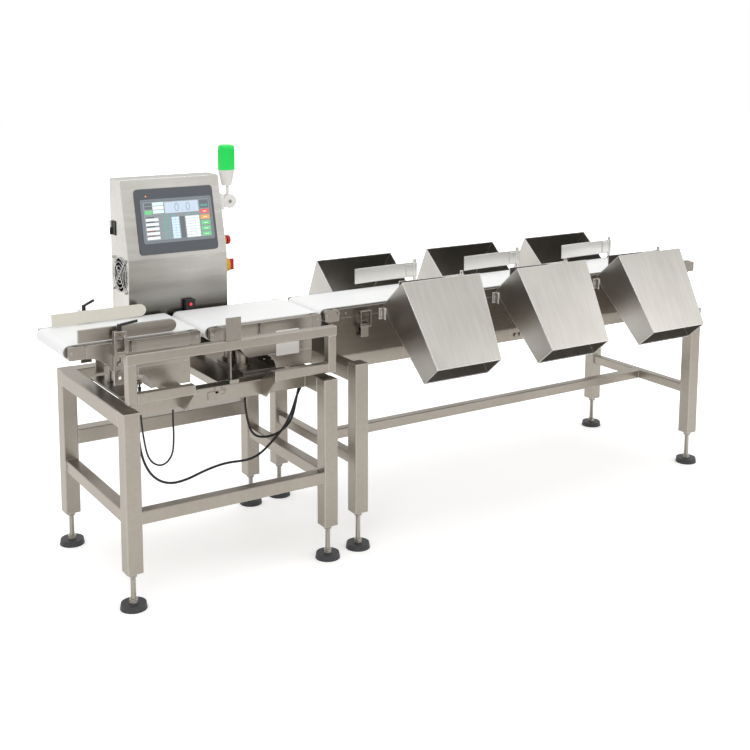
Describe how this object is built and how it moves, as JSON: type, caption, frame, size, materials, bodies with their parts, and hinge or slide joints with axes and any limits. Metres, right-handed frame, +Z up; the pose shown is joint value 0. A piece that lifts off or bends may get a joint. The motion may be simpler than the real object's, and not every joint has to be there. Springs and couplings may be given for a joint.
{
  "type": "checkweigher with swing arm sorter",
  "caption": "Belt checkweigher with infeed and weighing belts, operator cabinet and a swing arm sorting conveyor that diverts into side chutes.",
  "frame": {"origin": "on the floor under the middle of the machine's length, on the sorter belt's centre line", "axes": "+X along the product flow, +Y towards the cabinet's rear side, +Z up"},
  "size_m": [2.6499, 0.836, 1.315],
  "materials": {
    "stainless": "brushed",
    "cabinet_steel": "brushed",
    "polished": "polished",
    "roller_steel": "turned",
    "arm_steel": "brushed",
    "belt_white": "matte",
    "cream": "satin",
    "block_grey": "satin",
    "foot_mix": "matte",
    "dark_plastic": "satin",
    "motor_paint": "satin",
    "timing_rubber": "matte",
    "pulley_alu": "satin",
    "bezel_grey": "satin",
    "screen_blue": "glossy",
    "yellow_plate": "satin",
    "red_plastic": "satin",
    "beacon_white": "satin",
    "beacon_green": "glossy",
    "reflector_red": "satin",
    "cord_black": "matte"
  },
  "bodies": {
    "machine": {"weigh_stand": "stainless", "guard_frame": "stainless", "sorter_stand": "stainless", "infeed_frame": "stainless", "infeed_belt": "belt_white", "weigh_frame": "stainless", "weigh_belt": "belt_white", "sorter_body": "stainless", "sorter_belt": "belt_white", "end_blocks": "block_grey", "motor_covers": "stainless", "drive_motors": "motor_paint", "toothed_belts": "timing_rubber", "load_cell": "block_grey", "chutes_front": "stainless", "chutes_rear": "stainless", "cabinet_shell": "cabinet_steel", "cabinet_supports": "stainless", "hmi_bezel": "bezel_grey", "hmi_screen": "screen_blue", "fan_guard": "polished", "control_plates": "yellow_plate", "beacon_mount": "cabinet_steel", "door_hinges": "dark_plastic", "photo_sensor": "dark_plastic", "reflector": "reflector_red", "infeed_brackets": "stainless", "fasteners": "polished", "main_cord": "cord_black", "cell_cord": "cord_black", "loop_cord": "cord_black"},
    "infeed_drive_roller": {"infeed_drive_roller": "roller_steel"},
    "infeed_idler_roller": {"infeed_idler_roller": "roller_steel"},
    "infeed_motor_pulley": {"infeed_motor_pulley": "pulley_alu"},
    "weigh_drive_roller": {"weigh_drive_roller": "roller_steel"},
    "weigh_idler_roller": {"weigh_idler_roller": "roller_steel"},
    "weigh_motor_pulley": {"weigh_motor_pulley": "pulley_alu"},
    "sorter_drive_roller": {"sorter_drive_roller": "roller_steel"},
    "sorter_idler_roller": {"sorter_idler_roller": "roller_steel"},
    "sorter_motor_pulley": {"sorter_motor_pulley": "pulley_alu"},
    "arm_front_1": {"arm_front_1": "arm_steel"},
    "arm_rear_1": {"arm_rear_1": "arm_steel"},
    "arm_front_2": {"arm_front_2": "arm_steel"},
    "arm_rear_2": {"arm_rear_2": "arm_steel"},
    "arm_front_3": {"arm_front_3": "arm_steel"},
    "arm_rear_3": {"arm_rear_3": "arm_steel"},
    "weigh_feet": {"weigh_feet": "foot_mix"},
    "sorter_feet": {"sorter_feet": "foot_mix"},
    "guide_rail_front": {"guide_rail_front": "arm_steel"},
    "guide_rail_rear": {"guide_rail_rear": "cream"},
    "clamp_lever_front": {"clamp_lever_front": "dark_plastic"},
    "clamp_lever_rear": {"clamp_lever_rear": "dark_plastic"},
    "sorter_latch_lever": {"sorter_latch_lever": "arm_steel"},
    "sorter_latch_hook": {"sorter_latch_hook": "arm_steel"},
    "cabinet_door": {"cabinet_door": "cabinet_steel"},
    "fan_rotor": {"fan_rotor": "dark_plastic"},
    "estop_button": {"estop_button": "red_plastic"},
    "main_switch_knob": {"main_switch_knob": "red_plastic"},
    "beacon": {"beacon_arm": "beacon_white", "beacon_lens": "beacon_green"}
  },
  "joints": [
    {"name": "infeed_drive_spin", "type": "hinge", "parent": "machine", "child": "infeed_drive_roller", "pos_m": [-0.89605, -0.015, 0.75895], "axis": [0, 1, 0], "continuous": true},
    {"name": "infeed_idler_spin", "type": "hinge", "parent": "machine", "child": "infeed_idler_roller", "pos_m": [-1.29395, -0.015, 0.75895], "axis": [0, 1, 0], "continuous": true},
    {"name": "infeed_motor_spin", "type": "hinge", "parent": "machine", "child": "infeed_motor_pulley", "pos_m": [-0.985, 0.118, 0.652], "axis": [0, 1, 0], "continuous": true},
    {"name": "weigh_drive_spin", "type": "hinge", "parent": "machine", "child": "weigh_drive_roller", "pos_m": [-0.46605, -0.015, 0.75895], "axis": [0, 1, 0], "continuous": true},
    {"name": "weigh_idler_spin", "type": "hinge", "parent": "machine", "child": "weigh_idler_roller", "pos_m": [-0.84395, -0.015, 0.75895], "axis": [0, 1, 0], "continuous": true},
    {"name": "weigh_motor_spin", "type": "hinge", "parent": "machine", "child": "weigh_motor_pulley", "pos_m": [-0.56, 0.118, 0.652], "axis": [0, 1, 0], "continuous": true},
    {"name": "sorter_drive_spin", "type": "hinge", "parent": "machine", "child": "sorter_drive_roller", "pos_m": [1.31395, 0, 0.75895], "axis": [0, 1, 0], "continuous": true},
    {"name": "sorter_idler_spin", "type": "hinge", "parent": "machine", "child": "sorter_idler_roller", "pos_m": [-0.41395, 0, 0.75895], "axis": [0, 1, 0], "continuous": true},
    {"name": "sorter_motor_spin", "type": "hinge", "parent": "machine", "child": "sorter_motor_pulley", "pos_m": [1.15, 0.118, 0.652], "axis": [0, 1, 0], "continuous": true},
    {"name": "arm_front_1_swing", "type": "hinge", "parent": "machine", "child": "arm_front_1", "pos_m": [0.145, -0.12, 0.82], "axis": [0, 0, 1], "range_deg": [-45, 0]},
    {"name": "arm_rear_1_swing", "type": "hinge", "parent": "machine", "child": "arm_rear_1", "pos_m": [0.108, 0.12, 0.82], "axis": [0, 0, 1], "range_deg": [0, 45]},
    {"name": "arm_front_2_swing", "type": "hinge", "parent": "machine", "child": "arm_front_2", "pos_m": [0.635, -0.12, 0.82], "axis": [0, 0, 1], "range_deg": [-45, 0]},
    {"name": "arm_rear_2_swing", "type": "hinge", "parent": "machine", "child": "arm_rear_2", "pos_m": [0.598, 0.12, 0.82], "axis": [0, 0, 1], "range_deg": [0, 45]},
    {"name": "arm_front_3_swing", "type": "hinge", "parent": "machine", "child": "arm_front_3", "pos_m": [1.125, -0.12, 0.82], "axis": [0, 0, 1], "range_deg": [-45, 0]},
    {"name": "arm_rear_3_swing", "type": "hinge", "parent": "machine", "child": "arm_rear_3", "pos_m": [1.088, 0.12, 0.82], "axis": [0, 0, 1], "range_deg": [0, 45]},
    {"name": "weigh_feet_level", "type": "slide", "parent": "machine", "child": "weigh_feet", "axis": [0, 0, 1], "range_m": [0, 0.03]},
    {"name": "sorter_feet_level", "type": "slide", "parent": "machine", "child": "sorter_feet", "axis": [0, 0, 1], "range_m": [0, 0.03]},
    {"name": "front_rail_slide", "type": "slide", "parent": "machine", "child": "guide_rail_front", "axis": [0, 1, 0], "range_m": [0, 0.035]},
    {"name": "rear_rail_slide", "type": "slide", "parent": "machine", "child": "guide_rail_rear", "axis": [0, -1, 0], "range_m": [0, 0.035]},
    {"name": "front_lever_turn", "type": "hinge", "parent": "machine", "child": "clamp_lever_front", "pos_m": [-1.151, -0.1701, 0.818], "axis": [0, 0, 1], "range_deg": [-60, 60]},
    {"name": "rear_lever_turn", "type": "hinge", "parent": "machine", "child": "clamp_lever_rear", "pos_m": [-1.151, 0.1401, 0.818], "axis": [0, 0, 1], "range_deg": [-60, 60]},
    {"name": "latch_lever_turn", "type": "hinge", "parent": "machine", "child": "sorter_latch_lever", "pos_m": [-0.279, -0.139, 0.716], "axis": [1, 0, 0], "range_deg": [-60, 0]},
    {"name": "latch_hook_turn", "type": "hinge", "parent": "sorter_latch_lever", "child": "sorter_latch_hook", "pos_m": [-0.279, -0.151, 0.712], "axis": [1, 0, 0], "range_deg": [0, 60]},
    {"name": "cabinet_door_turn", "type": "hinge", "parent": "machine", "child": "cabinet_door", "pos_m": [-1.0075, 0.2665, 0.927], "axis": [0, 0, 1], "range_deg": [0, 110]},
    {"name": "fan_spin", "type": "hinge", "parent": "machine", "child": "fan_rotor", "pos_m": [-0.987, 0.205, 0.903], "axis": [1, 0, 0], "continuous": true},
    {"name": "estop_press", "type": "slide", "parent": "machine", "child": "estop_button", "axis": [-1, 0, 0], "range_m": [0, 0.004]},
    {"name": "main_switch_turn", "type": "hinge", "parent": "machine", "child": "main_switch_knob", "pos_m": [-0.642, 0.166, 0.908], "axis": [1, 0, 0], "range_deg": [0, 90]},
    {"name": "beacon_swivel", "type": "hinge", "parent": "machine", "child": "beacon", "pos_m": [-0.612, 0.2, 1.121], "axis": [0, 1, 0], "range_deg": [0, 90]}
  ],
  "couplings": [
    {"joint": "infeed_idler_spin", "follows": "infeed_drive_spin", "ratio": 1},
    {"joint": "infeed_motor_spin", "follows": "infeed_drive_spin", "ratio": 1},
    {"joint": "weigh_idler_spin", "follows": "weigh_drive_spin", "ratio": 1},
    {"joint": "weigh_motor_spin", "follows": "weigh_drive_spin", "ratio": 1},
    {"joint": "sorter_idler_spin", "follows": "sorter_drive_spin", "ratio": 1},
    {"joint": "sorter_motor_spin", "follows": "sorter_drive_spin", "ratio": 1},
    {"joint": "latch_hook_turn", "follows": "latch_lever_turn", "ratio": -1}
  ]
}
